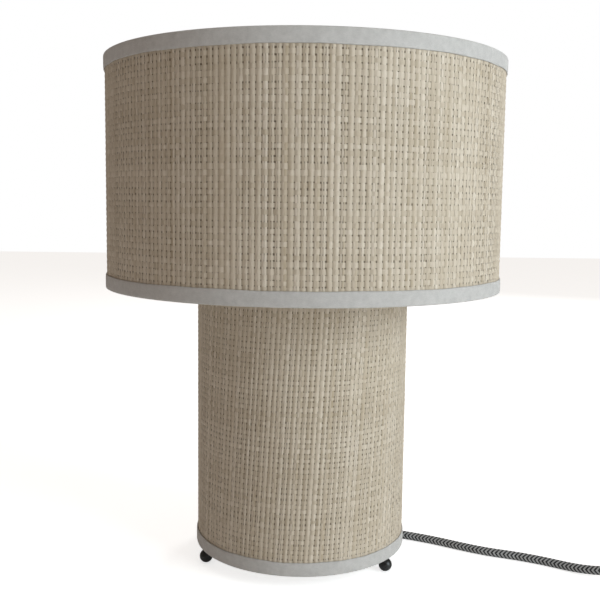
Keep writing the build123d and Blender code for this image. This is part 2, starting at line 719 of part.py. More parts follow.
def switch_rocker():
    """The rocker at rest, tipped to one side, dished on top."""
    half, axis = ROCKER_L / 2, ROCKER_AXIS_Z
    profile = Polyline(
        (-half, axis - ROCKER_DOWN + ROCKER_CHAMFER_H),
        (-half, axis + ROCKER_UP),
        (0, axis + ROCKER_UP - ROCKER_DISH),
        (half, axis + ROCKER_UP),
        (half, axis - ROCKER_DOWN + ROCKER_CHAMFER_H),
        (half - ROCKER_CHAMFER_L, axis - ROCKER_DOWN),
        (-half + ROCKER_CHAMFER_L, axis - ROCKER_DOWN),
        close=True,
    )
    body = extrude(make_face(Plane.XZ * profile), ROCKER_W / 2, both=True)
    bore = straight_rod((0, -ROCKER_W, axis), (0, ROCKER_W, axis), PIN_D / 2 + PIN_CLEARANCE)
    strip = Pos(0, 0, axis - ROCKER_DOWN - CONTACT_STRIP[2]) * Box(
        *CONTACT_STRIP, align=(Align.CENTER, Align.CENTER, Align.MIN)
    )
    tilt = Pos(0, 0, axis) * Rot(0, ROCKER_TILT, 0) * Pos(0, 0, -axis)
    return tilt * (body - bore), tilt * strip


def switch():
    lower, inner = switch_shell(0, SWITCH_SPLIT_Z)
    lower = fillet(lower.faces().sort_by(Axis.Z)[0].edges(), SWITCH_FOOT_R)
    lower -= extrude(Pos(0, 0, SWITCH_WALL) * inner, SWITCH_SPLIT_Z)
    upper, inner = switch_shell(SWITCH_SPLIT_Z, SWITCH_TOP_Z)
    upper = fillet(upper.faces().sort_by(Axis.Z)[-1].edges(), SWITCH_EDGE_R)
    upper -= extrude(Pos(0, 0, SWITCH_SPLIT_Z) * inner, SWITCH_TOP_Z - SWITCH_WALL - SWITCH_SPLIT_Z)
    opening = (OPENING_L, OPENING_W, SWITCH_WALL + 2 * CUT_PAST)
    upper -= block(opening, (0, 0), SWITCH_TOP_Z - SWITCH_WALL - CUT_PAST)
    pin = straight_rod((0, -PIN_L / 2, ROCKER_AXIS_Z), (0, PIN_L / 2, ROCKER_AXIS_Z), PIN_D / 2)
    for side in (-1, 1):
        lug_y = side * (PIN_L / 2 - LUG_T / 2)
        upper += block((LUG_L, LUG_T, SWITCH_TOP_Z - SWITCH_WALL - LUG_DROP_Z), (0, lug_y), LUG_DROP_Z)
    screws = switch_screw_solids()
    for boss in switch_bosses(SWITCH_WALL, SWITCH_SPLIT_Z):
        lower += boss
    for boss in switch_bosses(SWITCH_SPLIT_Z, SWITCH_TOP_Z - SWITCH_WALL):
        upper += boss
    cord_hole = straight_rod(
        (-SWITCH_L, 0, SWITCH_SPLIT_Z), (SWITCH_L, 0, SWITCH_SPLIT_Z), CORD_D / 2 + PART_GAP
    )
    between_holes = SWITCH_L - 2 * (SWITCH_WALL + CORD_HOLE_MARGIN)
    cord_hole -= block((between_holes, 2 * CORD_D, 4 * CORD_D), (0, 0), -CORD_D)
    lower -= cord_hole
    upper = upper - cord_hole - pin
    for screw in screws:
        lower -= screw
        upper -= screw
    for x, y in SWITCH_SCREWS:
        lower -= Pos(x, y, 0) * rod(SCREW_HEAD_D / 2, -CUT_PAST, SCREW_SUNK + SCREW_HEAD_T)
    terminals = [block(SWITCH_TERMINAL, (x, y), SWITCH_WALL) for x, y in SWITCH_TERMINALS]
    rocker, strip = switch_rocker()
    nodes = {
        "switch_base": lower,
        "switch_cover": upper,
        "switch_rocker": rocker,
        "rocker_contact": strip,
        "rocker_pin": pin,
        "switch_screws": Compound(screws),
        "switch_terminals": Compound(terminals),
    }
    return {name: Pos(SWITCH_X, SWITCH_Y, 0) * solid for name, solid in nodes.items()}


# ---------------------------------------------------------------- plug


def plug_section(y, width, thick, corner):
    """A rounded rectangle that faces along +Y at that distance from the strain relief's cord end."""
    return Plane((0, y, 0), x_dir=(1, 0, 0), z_dir=(0, 1, 0)) * RectangleRounded(width, thick, corner)


def plug():
    face_y = RELIEF_L + PLUG_L
    body = loft(
        [
            plug_section(RELIEF_L, PLUG_NECK_W, PLUG_NECK_W, PLUG_EDGE_R),
            plug_section(RELIEF_L + PLUG_SWELL_L, PLUG_W, PLUG_T, PLUG_EDGE_R),
        ]
    )
    body += loft(
        [
            plug_section(RELIEF_L + PLUG_SWELL_L, PLUG_W, PLUG_T, PLUG_EDGE_R),
            plug_section(face_y, PLUG_W - PLUG_FACE_TAPER, PLUG_T - PLUG_FACE_TAPER, PLUG_EDGE_R),
        ]
    )
    relief = loft(
        [
            Plane((0, 0, 0), z_dir=(0, 1, 0)) * Circle(RELIEF_START_D / 2),
            Plane((0, RELIEF_L, 0), z_dir=(0, 1, 0)) * Circle(RELIEF_END_D / 2),
        ]
    )
    cord_in = straight_rod((0, -CUT_PAST, 0), (0, CORD_IN_RELIEF, 0), CORD_D / 2 + PART_GAP)
    pins, sleeves = {}, []
    for name, side in (("plug_pin_left", -1), ("plug_pin_right", 1)):
        x = side * PLUG_PIN_SPACING / 2
        bare_y = face_y + PLUG_SLEEVE_L
        core = straight_rod((x, face_y - PLUG_PIN_BURIED, 0), (x, bare_y, 0), PLUG_PIN_CORE_D / 2)
        tip_y = face_y + PLUG_PIN_L - PLUG_PIN_D / 2
        bare = straight_rod((x, bare_y, 0), (x, tip_y, 0), PLUG_PIN_D / 2)
        pins[name] = core + bare + Pos(x, tip_y, 0) * Sphere(PLUG_PIN_D / 2)
        sleeve = straight_rod((x, face_y, 0), (x, bare_y, 0), PLUG_SLEEVE_D / 2)
        sleeves.append(sleeve - core)
        body -= core
    nodes = {"plug_body": body, "plug_strain_relief": relief - cord_in, **pins}
    nodes["plug_pin_sleeves"] = Compound(sleeves)
    return {name: Pos(PLUG_X, PLUG_Y, PLUG_Z) * solid for name, solid in nodes.items()}


def main():
    os.makedirs("parts", exist_ok=True)
    for section in (base_drum, base_frame, cord_grip, holder, shade, bulb, cord, switch, plug):
        for name, shape in section().items():
            export_step(shape, f"parts/{name}.step")


main()
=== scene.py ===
import math

import bpy
from mathutils import Matrix, Vector


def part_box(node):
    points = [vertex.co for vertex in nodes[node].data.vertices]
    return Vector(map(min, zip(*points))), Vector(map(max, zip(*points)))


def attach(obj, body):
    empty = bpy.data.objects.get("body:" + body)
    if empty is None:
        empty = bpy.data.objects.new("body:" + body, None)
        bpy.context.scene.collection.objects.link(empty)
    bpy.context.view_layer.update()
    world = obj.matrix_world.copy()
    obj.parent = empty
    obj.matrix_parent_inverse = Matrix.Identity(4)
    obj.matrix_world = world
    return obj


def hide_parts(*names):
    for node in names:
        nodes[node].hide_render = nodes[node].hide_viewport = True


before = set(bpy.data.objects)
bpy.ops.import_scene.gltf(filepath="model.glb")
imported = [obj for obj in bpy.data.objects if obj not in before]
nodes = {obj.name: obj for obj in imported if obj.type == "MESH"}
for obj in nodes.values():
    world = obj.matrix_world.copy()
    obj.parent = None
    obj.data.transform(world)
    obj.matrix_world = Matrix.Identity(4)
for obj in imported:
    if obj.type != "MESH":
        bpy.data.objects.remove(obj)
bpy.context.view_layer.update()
MM = 0.001

# ---- camera ----
CAMERA_DISTANCE = 0.6808
CAMERA_HEIGHT = 0.2748
CAMERA_YAW = -0.003
CAMERA_PITCH = -0.110
CAMERA_ROLL = 0.012
LENS_MM = 52.6
SENSOR_MM = 36

# ---- light and table: the table's glow on the lamp is weaker than the one that the camera sees ----
WORLD_STRENGTH = 0.225
FLOOR_GLOW = 0.70
FLOOR_GLOW_ON_LAMP = 0.12
TABLE_HALF = 4.0

# ---- cord: the first three in metres, its route in millimetres ----
CORD_D = 0.0065
LEAD = [
    (0, 0, 56),
    (0, 0, 38),
    (7, 3.9, 20),
    (21, 11.5, 7),
    (41, 21.8, 3.3),
    (65.5, 26.5, 3.3),
    (88, 18.2, 3.3),
    (110, 7.6, 3.3),
    (132, -6, 3.3),
    (149, -15, 3.3),
    (168, -21.5, 3.3),
    (188, -31, 3.3),
    (205, -42, 3.3),
    (218.5, -51.5, 4.9),
    (233, -58, 7.5),
    (249, -58, 7.5),
]
LINK = [
    (268, -58, 7.5),
    (286, -58, 7.5),
    (305, -58, 7.5),
    (319, -58, 7.5),
    (334, -52.2, 5.6),
    (345.9, -41.3, 3.9),
    (353, -26.9, 3.3),
    (354.9, -10.9, 3.3),
]
TAIL = [
    (348, 45, 9.7),
    (342.4, 60, 8.4),
    (340, 74, 7.0),
    (340, 84, 7.0),
    (340, 96, 7.0),
]
COIL_CENTRE = (309, 12)
COIL_OUTER_R = 47.5
COIL_INNER_R = 30.4
COIL_LOW_Z = 3.3
COIL_HIGH_Z = 9.8
COIL_START_DEG = -10.0
COIL_END_DEG = 20.0
COIL_TURNS = 5
COIL_HEIGHT = 13.05
CLIMB_START = 0.44
CLIMB_SHARE = 0.12
POINTS_PER_TURN = 16
CORD_SIDES = 16

# ---- tie round the coil, in millimetres ----
TIE_WIDTH = 12.0
TIE_T = 0.9
TIE_ROOM = 3.75
TIE_SLACK = 0.2
TIE_LAP = 1.0
TIE_TAB = 3.0
TIE_TAB_LIFT = 0.6
TIE_CORNER_R = 3.2
TIE_CORNER_STEPS = 6
TIE_AT_DEG = 100

# ---- strain relief at the plug ----
RELIEF_MOUTH_R = 3.3 * MM
RELIEF_START_R = 4.3 * MM
RELIEF_END_R = 5.5 * MM
RELIEF_GROOVE = 0.55 * MM
RELIEF_GROOVE_FADE = 0.5
RELIEF_GROOVE_TURN = 1.2
RELIEF_RIBS = 7
RINGS_PER_RIB = 6
RELIEF_SIDES = 32

# ---- weave: pairs of strands round each drum, and rows up it ----
SHADE_PAIRS = 234
BASE_PAIRS = 138
SHADE_ROW = 4.0 * MM
BASE_ROW = 3.7 * MM
STRAND_LIFT = 0.19 * MM
STRAND_CROWN = 0.10 * MM
ROUND_CROWN = 0.20 * MM
RIB_DEPTH = 0.38 * MM
ROW_BUNCHING = 0.65
SHADE_ROUND_SHARE = 0.77
BASE_ROUND_SHARE = 0.72
BASE_LEAN = 0.052
# the cloth's middle lies this many lifts inside its outer face
CLOTH_MIDDLE_IN = 1.6
# shares of the distance between two pairs, or between two rows
UPRIGHT_SHARE = 0.40
PAIR_SPREAD = 0.41
UPRIGHT_WANDER = 0.20
ROUND_WANDER = 0.14
UPRIGHT_UNEVENNESS = {"Tone_Step": 1.7, "Width_Step": 0.9, "Bunching": 0.0}
ROUND_UNEVENNESS = {"Tone_Step": 0.8, "Width_Step": 0.8, "Bunching": ROW_BUNCHING}

# ---- unevenness of the strands: the step from one strand to the next in the noise that sets each value ----
WIDTH_STRIDE = 1.37
TONE_STRIDE = 2.71
DRIFT_STRIDE = 3.3
SLACK_STRIDE = 4.1
THINNING_STRIDE = 5.7
BLADE_STRIDE = 7.7
ROW_STRIDE = 0.31

# ---- how each seed moves those values to another place in the noise ----
WIDTH_SEED_STEP = 3.1
WIDTH_LAYER = 0.5
TONE_SEED_STEP = 5.3
TONE_LAYER = 9.5
SLACK_SEED = 20
THINNING_SEED = 40
BLADE_SEED = 60
ROUNDS_SEED = 7

# ---- how fast they change: per metre along a strand, or by the noise's circle once round a drum ----
DRIFT_RATE = 70
THINNING_RATE = 110
BLADE_RATE = 55
SLACK_RATE = 160
DRIFT_CIRCLE = 12
THINNING_CIRCLE = 60
BUNCHING_CIRCLE = 0.9

# ---- how much: width as a share of the strand's own, and the change of tone from one blade to the next ----
LEAST_WIDTH = 0.7
WIDTH_RANGE = 0.6
BLADE_TONE = 0.9

# ---- tape: the ripples of its free edge in millimetres ----
TAPE_T = 0.45 * MM
TAPE_MIDDLE_IN = 0.25 * MM
TAPE_OFF_RIM = 0.25 * MM
TAPE_OFF_WIRE = 0.4 * MM
TAPE_INSIDE = 9.4 * MM
TAPE_SEGMENTS = 256
LONG_RIPPLE = 0.16
LONG_RIPPLES_ROUND = 9
SHORT_RIPPLE = 0.10
SHORT_RIPPLES_ROUND = 23
LONG_RIPPLE_START = 90
SHORT_RIPPLE_START = 1.3
LINER_HALF_T = 0.25 * MM

# ---- how much the roughness of plastic and of metal varies ----
CLOUDED_GLOSS = 0.16
MARKED_GLOSS = 0.2


# ---------------------------------------------------------------- node helpers


class Value:
    """A number socket that takes part in Python arithmetic by adding Math nodes."""

    def __init__(self, maker, socket):
        self.maker = maker
        self.socket = socket

    def maths(self, operation, *values):
        return self.maker.add("ShaderNodeMath", {"operation": operation}, dict(enumerate(values)))

    def __add__(self, other):
        return self.maths("ADD", self, other)

    def __sub__(self, other):
        return self.maths("SUBTRACT", self, other)

    def __rsub__(self, other):
        return self.maths("SUBTRACT", other, self)

    def __mul__(self, other):
        return self.maths("MULTIPLY", self, other)

    def __truediv__(self, other):
        return self.maths("DIVIDE", self, other)

    def __gt__(self, other):
        return self.maths("GREATER_THAN", self, other)

    def of(self, operation, *more):
        return self.maths(operation, self, *more)


class Maker:
    """Adds nodes to one tree."""

    def __init__(self, tree):
        self.tree = tree

    def add(self, kind, settings=None, inputs=None, output=0):
        node = self.tree.nodes.new(kind)
        for name, value in (settings or {}).items():
            setattr(node, name, value)
        for name, value in (inputs or {}).items():
            if isinstance(value, Value):
                self.tree.links.new(value.socket, node.inputs[name])
            else:
                node.inputs[name].default_value = value
        return Value(self, node.outputs[output])

    def mix(self, factor, a, b):
        """Colour a where factor is 0, and b where it is 1."""
        return self.add("ShaderNodeMix", {"data_type": "RGBA"}, {0: factor, 6: a, 7: b}, 2)

    def parts(self, vector):
        first = self.add("ShaderNodeSeparateXYZ", None, {0: vector})
        outputs = first.socket.node.outputs
        return [Value(self, outputs[i]) for i in range(3)]

    def vector(self, x, y, z):
        return self.add("ShaderNodeCombineXYZ", None, {0: x, 1: y, 2: z})

    def noise(self, where, scale=1.0, detail=2.0, rough=0.5):
        inputs = {"Vector": where, "Scale": scale, "Detail": detail, "Roughness": rough}
        return self.add("ShaderNodeTexNoise", None, inputs)


class Finish(Maker):
    """A material under one Principled shader."""

    def __init__(self, name, **constants):
        self.material = bpy.data.materials.new(name)
        self.material.use_nodes = True
        super().__init__(self.material.node_tree)
        self.shader = self.tree.nodes["Principled BSDF"]
        for socket, value in constants.items():
            self.shader.inputs[socket.replace("_", " ")].default_value = value
        self.place = self.add("ShaderNodeTexCoord", None, None, "Object")
        self.uv = Value(self, self.place.socket.node.outputs["UV"])

    def feed(self, socket, value):
        self.tree.links.new(value.socket, self.shader.inputs[socket])

    def bump(self, height, depth, strength=1.0):
        inputs = {"Height": height, "Distance": depth, "Strength": strength}
        self.feed("Normal", self.add("ShaderNodeBump", None, inputs))

    def attribute(self, name):
        return self.add("ShaderNodeAttribute", {"attribute_name": name}, None, "Fac")


def rgba(r, g, b):
    return (r, g, b, 1.0)


# ---------------------------------------------------------------- finishes


def raffia_finish(name, light, dark):
    """Dry palm strands: a tone for each strand, fine fibres along it, and broad patches of age."""
    m = Finish(name, Roughness=0.62, Sheen_Weight=0.15, Sheen_Roughness=0.5)
    along, across, _ = m.parts(m.uv)
    fibres_along, fibres_across = 90, 9000
    fibres = m.noise(m.vector(along * fibres_along, across * fibres_across, 0.0), detail=3.0, rough=0.6)
    mottle = m.noise(m.place, scale=26.0, detail=3.0, rough=0.55)
    tone = m.attribute("tone")
    shade = tone * 0.55 + fibres * 0.30 + mottle * 0.30
    m.feed("Base Color", m.mix(shade.of("SMOOTH_MAX", 0.0, 0.01), dark, light))
    m.feed("Roughness", fibres * 0.2 + 0.52)
    m.bump(fibres, 0.12 * MM)
    return m.material


def tape_finish():
    """Cotton tape in a fine plain weave."""
    m = Finish("cotton_tape", Roughness=0.85, Sheen_Weight=0.25, Sheen_Roughness=0.5)
    along, across, _ = m.parts(m.uv)
    thread = 0.42 * MM
    slubs_along, slubs_across = 400, 2600
    warp = (along * (2 * math.pi / thread)).of("SINE")
    weft = (across * (2 * math.pi / thread)).of("SINE")
    weave = warp * weft * 0.5 + 0.5
    slub = m.noise(m.vector(along * slubs_along, across * slubs_across, 0.0), detail=3.0, rough=0.6)
    mottle = m.noise(m.place, scale=210.0, detail=4.0, rough=0.65)
    level = weave * 0.2 + slub * 0.3 + mottle * 0.5
    m.feed("Base Color", m.mix(level, rgba(0.37, 0.35, 0.334), rgba(0.89, 0.852, 0.825)))
    m.bump(weave + slub, 0.10 * MM)
    return m.material


def braid_finish():
    """A round braid of black and pale yarns that make zigzag bands round the cord."""
    m = Finish("cord_braid", Roughness=0.78, Sheen_Weight=0.2, Sheen_Roughness=0.4)
    along, around, _ = m.parts(m.uv)
    period = 3.02 * MM
    zigzags = 3
    zigzag_start = 0.75
    zigzag_reach = 0.85
    black_share = 0.60
    frayed_edge = 0.12
    yarn_pitch = 0.9 * MM
    yarns_round = 8
    zigzag = (around * zigzags + zigzag_start).of("PINGPONG", 0.5) * 2
    band = (along / period - zigzag * zigzag_reach).of("FRACT")
    fray_along, fray_around = 2500, 60
    edge = m.noise(m.vector(along * fray_along, around * fray_around, 0.0))
    pale = (band + edge * frayed_edge) > black_share
    yarn = (along * (2 * math.pi / yarn_pitch) + around * (2 * math.pi * yarns_round)).of("SINE")
    cross = (along * (2 * math.pi / yarn_pitch) - around * (2 * math.pi * yarns_round)).of("SINE")
    lay = yarn * cross * 0.5 + 0.5
    black = m.mix(lay, rgba(0.018, 0.018, 0.021), rgba(0.045, 0.045, 0.050))
    white = m.mix(lay, rgba(0.34, 0.34, 0.35), rgba(0.60, 0.60, 0.60))
    m.feed("Base Color", m.mix(pale, black, white))
    m.bump(lay, 0.22 * MM)
    return m.material


def liner_finish(name, skin_middle):
    """Styrene sheet, matt white inside, with a brown glue film on its outside behind the weave, painted dark
    enough to stand in for the shade that falls in the weave's holes.
    """
    m = Finish(name, Roughness=0.6, IOR=1.4, Subsurface_Weight=0.4, Subsurface_Radius=(1.0, 0.9, 0.8),
               Subsurface_Scale=0.6 * MM)
    x, y, _ = m.parts(m.place)
    radius = (x * x + y * y).of("SQRT")
    outside = radius > skin_middle
    grain = m.noise(m.place, scale=420.0)
    white = m.mix(grain, rgba(0.80, 0.78, 0.72), rgba(0.86, 0.84, 0.79))
    # painted shade: the outside's dark brown is glue colour darkened to stand for the shade inside the holes
    # between the strands
    glue_and_hole_shade = m.mix(grain, rgba(0.24, 0.187, 0.127), rgba(0.34, 0.27, 0.195))
    m.feed("Base Color", m.mix(outside, white, glue_and_hole_shade))
    m.bump(grain, 0.03 * MM)
    return m.material


def moulded(name, low, high, rough, grain_scale=900.0, depth=0.02):
    """Moulded plastic or paint: a fine grain, depth in millimetres, and a faint cloud in colour and gloss."""
    m = Finish(name, IOR=1.5)
    grain = m.noise(m.place, scale=grain_scale)
    cloud = m.noise(m.place, scale=45.0)
    m.feed("Base Color", m.mix(cloud * 0.6 + grain * 0.4, low, high))
    m.feed("Roughness", cloud * CLOUDED_GLOSS + (rough - CLOUDED_GLOSS / 2))
    m.bump(grain, depth * MM)
    return m.material


def metal(name, low, high, rough, scale=(300.0, 300.0, 2400.0)):
    """Bare metal with fine drawn or turned marks and a little tarnish."""
    m = Finish(name, Metallic=1.0)
    marks = m.noise(m.add("ShaderNodeMapping", None, {"Vector": m.place, "Scale": scale}), detail=3.0)
    tarnish = m.noise(m.place, scale=80.0, detail=3.0)
    m.feed("Base Color", m.mix(tarnish, low, high))
    m.feed("Roughness", marks * MARKED_GLOSS + (rough - MARKED_GLOSS / 2))
    m.bump(marks, 0.01 * MM)
    return m.material


def insulation_finish():
    """The two conductors in the stem: one brown, one blue."""
    m = Finish("wire_insulation", Roughness=0.4)
    low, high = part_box("stem_wires")
    x, _, _ = m.parts(m.place)
    blue_side = x > (low.x + high.x) / 2
    cloud = m.noise(m.place, scale=300.0)
    brown = m.mix(cloud, rgba(0.10, 0.045, 0.020), rgba(0.15, 0.07, 0.032))
    blue = m.mix(cloud, rgba(0.03, 0.08, 0.25), rgba(0.05, 0.12, 0.34))
    m.feed("Base Color", m.mix(blue_side, brown, blue))
    return m.material


def opal_glass():
    m = Finish("opal_glass", Transmission_Weight=0.35, IOR=1.5)
    cloud = m.noise(m.place, scale=70.0)
    m.feed("Base Color", m.mix(cloud, rgba(0.88, 0.88, 0.86), rgba(0.95, 0.95, 0.94)))
    m.feed("Roughness", cloud * 0.1 + 0.22)
    return m.material


def paint(material, *names):
    for name in names:
        mesh = nodes[name].data
        mesh.materials.clear()
        mesh.materials.append(material)


# ---------------------------------------------------------------- mesh helpers


def add_mesh(name, points, faces, material, uvs=None, smooth=True):
    """uvs, if given, is one pair for each corner of each face, in order."""
    mesh = bpy.data.meshes.new(name)
    mesh.from_pydata([tuple(p) for p in points], [], faces)
    if uvs:
        layer = mesh.uv_layers.new(name="UVMap")
        layer.data.foreach_set("uv", [c for uv in uvs for c in uv])
    mesh.materials.append(material)
    mesh.polygons.foreach_set("use_smooth", [smooth] * len(mesh.polygons))
    piece = bpy.data.objects.new(name, mesh)
    bpy.context.scene.collection.objects.link(piece)
    return piece


def finished(piece, body, slot, *replaced):
    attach(piece, body)
    if replaced:
        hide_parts(*replaced)
    return piece


# ---------------------------------------------------------------- camera, light and table


def add_camera():
    yaw, pitch, roll = CAMERA_YAW, CAMERA_PITCH, CAMERA_ROLL
    forward = Vector((math.sin(yaw) * math.cos(pitch), math.cos(yaw) * math.cos(pitch), math.sin(pitch)))
    level_right = Vector((math.cos(yaw), -math.sin(yaw), 0))
    level_up = level_right.cross(forward)
    right = level_right * math.cos(roll) + level_up * math.sin(roll)
    up = level_up * math.cos(roll) - level_right * math.sin(roll)
    camera = bpy.data.objects.new("camera", bpy.data.cameras.new("camera"))
    camera.data.lens = LENS_MM
    camera.data.sensor_width = SENSOR_MM
    turn = Matrix((right, up, -forward)).transposed().to_4x4()
    camera.matrix_world = Matrix.Translation((0, -CAMERA_DISTANCE, CAMERA_HEIGHT)) @ turn
    bpy.context.scene.collection.objects.link(camera)
    bpy.context.scene.camera = camera


def add_light(name, place, aim, size, power, colour):
    lamp = bpy.data.lights.new(name, "AREA")
    lamp.size = size
    lamp.energy = power
    lamp.color = colour
    holder = bpy.data.objects.new(name, lamp)
    direction = Vector(aim) - Vector(place)
    turn = direction.to_track_quat("-Z", "Y").to_matrix().to_4x4()
    holder.matrix_world = Matrix.Translation(place) @ turn
    bpy.context.scene.collection.objects.link(holder)


def add_studio():
    add_light("key", place=(1.42, -0.98, 0.66), aim=(0, 0, 0.2), size=1.1, power=22.4,
              colour=(0.83, 0.95, 1.0))
    add_light("window", place=(0.85, 1.6, 0.95), aim=(0, 0, 0.25), size=0.5, power=8.5,
              colour=(0.96, 0.98, 1.0))
    add_light("top", place=(0.2, -0.2, 1.8), aim=(0, 0, 0.2), size=1.2, power=2.2, colour=(1, 1, 1))
    world = bpy.data.worlds.new("studio")
    world.use_nodes = True
    m = Maker(world.node_tree)
    # the first output: 1 for what the camera sees directly, and 0 for light on its way to the lamp
    seen = m.add("ShaderNodeLightPath")
    background = world.node_tree.nodes["Background"]
    strength = seen * (1.0 - WORLD_STRENGTH) + WORLD_STRENGTH
    m.tree.links.new(strength.socket, background.inputs["Strength"])
    m.tree.links.new(m.mix(seen, rgba(1.0, 0.85, 0.72), rgba(1, 1, 1)).socket, background.inputs["Color"])
    bpy.context.scene.world = world
    half = TABLE_HALF
    corners = [(-half, -half, 0), (half, -half, 0), (half, half, 0), (-half, half, 0)]
    table = moulded("pale_table", rgba(0.92, 0.92, 0.92), rgba(0.95, 0.95, 0.95), rough=0.8,
                    grain_scale=200.0, depth=0.0)
    m = Maker(table.node_tree)
    shader = table.node_tree.nodes["Principled BSDF"]
    glow = m.mix(m.add("ShaderNodeLightPath"), rgba(*[FLOOR_GLOW_ON_LAMP] * 3), rgba(1, 1, 1))
    m.tree.links.new(glow.socket, shader.inputs["Emission Color"])
    shader.inputs["Emission Strength"].default_value = FLOOR_GLOW
    add_mesh("table_top", corners, [(0, 1, 2, 3)], table)
    bpy.context.scene.view_settings.view_transform = "Standard"


# ---------------------------------------------------------------- cord


def coil_points():
    """In at the outside, half of the turns inwards, up a layer, and the other half outwards again."""
    total = COIL_TURNS * 360 + COIL_END_DEG - COIL_START_DEG
    count = round(total / 360 * POINTS_PER_TURN)
    points = []
    for i in range(count + 1):
        part = i / count
        angle = math.radians(COIL_START_DEG + total * part)
        radius = COIL_INNER_R + (COIL_OUTER_R - COIL_INNER_R) * abs(2 * part - 1)
        climb = min(max((part - CLIMB_START) / CLIMB_SHARE, 0), 1)
        height = COIL_LOW_Z + (COIL_HIGH_Z - COIL_LOW_Z) * climb * climb * (3 - 2 * climb)
        x = COIL_CENTRE[0] + radius * math.cos(angle)
        y = COIL_CENTRE[1] + radius * math.sin(angle)
        points.append((x, y, height))
    return points


def cord_line():
    """The points of the cord's centreline, from the route's spline."""
    curve = bpy.data.curves.new("cord_route", "CURVE")
    curve.dimensions = "3D"
    curve.resolution_u = 6
    spline = curve.splines.new("NURBS")
    route = LEAD + LINK + coil_points() + TAIL
    spline.points.add(len(route) - 1)
    for point, place in zip(spline.points, route):
        point.co = (*(c * MM for c in place), 1)
    spline.order_u = 3
    spline.use_endpoint_u = True
    holder = bpy.data.objects.new("cord_route", curve)
    bpy.context.scene.collection.objects.link(holder)
    line = bpy.data.meshes.new_from_object(holder)
    points = [v.co.copy() for v in line.vertices]
    bpy.data.objects.remove(holder)
    bpy.data.meshes.remove(line)
    return points


def tube_along(name, line, radius, sides, material):
    """A round tube with UVs of metres along it and turns around it."""
    points, faces, uvs, distance = [], [], [], [0.0]
    direction = (line[1] - line[0]).normalized()
    side = direction.orthogonal().normalized()
    for i, centre in enumerate(line):
        ahead = line[min(i + 1, len(line) - 1)] - line[max(i - 1, 0)]
        ahead.normalize()
        side = (side - ahead * side.dot(ahead)).normalized()
        other = ahead.cross(side)
        for k in range(sides):
            turn = 2 * math.pi * k / sides
            points.append(centre + radius * (side * math.cos(turn) + other * math.sin(turn)))
        if i:
            distance.append(distance[-1] + (centre - line[i - 1]).length)
    for i in range(len(line) - 1):
        for k in range(sides):
            near, far = i * sides, (i + 1) * sides
            nxt = (k + 1) % sides
            faces.append((near + k, near + nxt, far + nxt, far + k))
            low, high = distance[i], distance[i + 1]
            uvs += [(low, k / sides), (low, (k + 1) / sides), (high, (k + 1) / sides), (high, k / sides)]
    last = (len(line) - 1) * sides
    faces.append(tuple(reversed(range(sides))))
    faces.append(tuple(range(last, last + sides)))
    uvs += [(0, 0)] * sides + [(distance[-1], 0)] * sides
    return add_mesh(name, points, faces, material, uvs)


def add_cord(braid, relief_rubber, band_cloth):
    line = cord_line()
    cord = tube_along("braided_cord", line, CORD_D / 2, CORD_SIDES, braid)
    finished(cord, "root", "braid", "cord_lead", "cord_link", "cord_coil", "cord_tail")
    relief = add_strain_relief(relief_rubber)
    tie = add_tie(band_cloth)
    on_cord = [relief, tie] + [nodes[n] for n in nodes if n.startswith(("switch_", "rocker_", "plug_"))]
    on_cord = [piece for piece in on_cord if piece.name != "plug_strain_relief"]


def add_strain_relief(material):
    """A tapered sleeve with soft ribs, thicker at the plug."""
    low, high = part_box("plug_strain_relief")
    cx, cz = (low.x + high.x) / 2, (low.z + high.z) / 2
    sides = RELIEF_SIDES
    profile = [(RELIEF_MOUTH_R, 0.0)]
    rings = RELIEF_RIBS * RINGS_PER_RIB
    for i in range(rings + 1):
        t = i / rings
        ribbing = max(0.0, math.sin(2 * math.pi * RELIEF_RIBS * t - RELIEF_GROOVE_TURN))
        groove = RELIEF_GROOVE * ribbing * (1 - RELIEF_GROOVE_FADE * t)
        profile.append((RELIEF_START_R + (RELIEF_END_R - RELIEF_START_R) * t - groove, t * (high.y - low.y)))
    points, faces = [], []
    for radius, along in profile:
        for k in range(sides):
            turn = 2 * math.pi * k / sides
            points.append((cx + radius * math.cos(turn), low.y + along, cz + radius * math.sin(turn)))
    for i in range(len(profile) - 1):
        for k in range(sides):
            a, b = i * sides + k, i * sides + (k + 1) % sides
            faces.append((b, a, a + sides, b + sides))
    faces.append(tuple(range(sides)))
    last = (len(profile) - 1) * sides
    faces.append(tuple(reversed(range(last, last + sides))))
    relief = add_mesh("ribbed_strain_relief", points, faces, material)
    return finished(relief, "root", "plug_black", "plug_strain_relief")


def rounded_corner(r, z, radius, start):
    """A quarter turn about a point, in degrees from start."""
    turns = [math.radians(start + 90 * i / TIE_CORNER_STEPS) for i in range(TIE_CORNER_STEPS + 1)]
    return [(r + radius * math.cos(turn), z + radius * math.sin(turn)) for turn in turns]


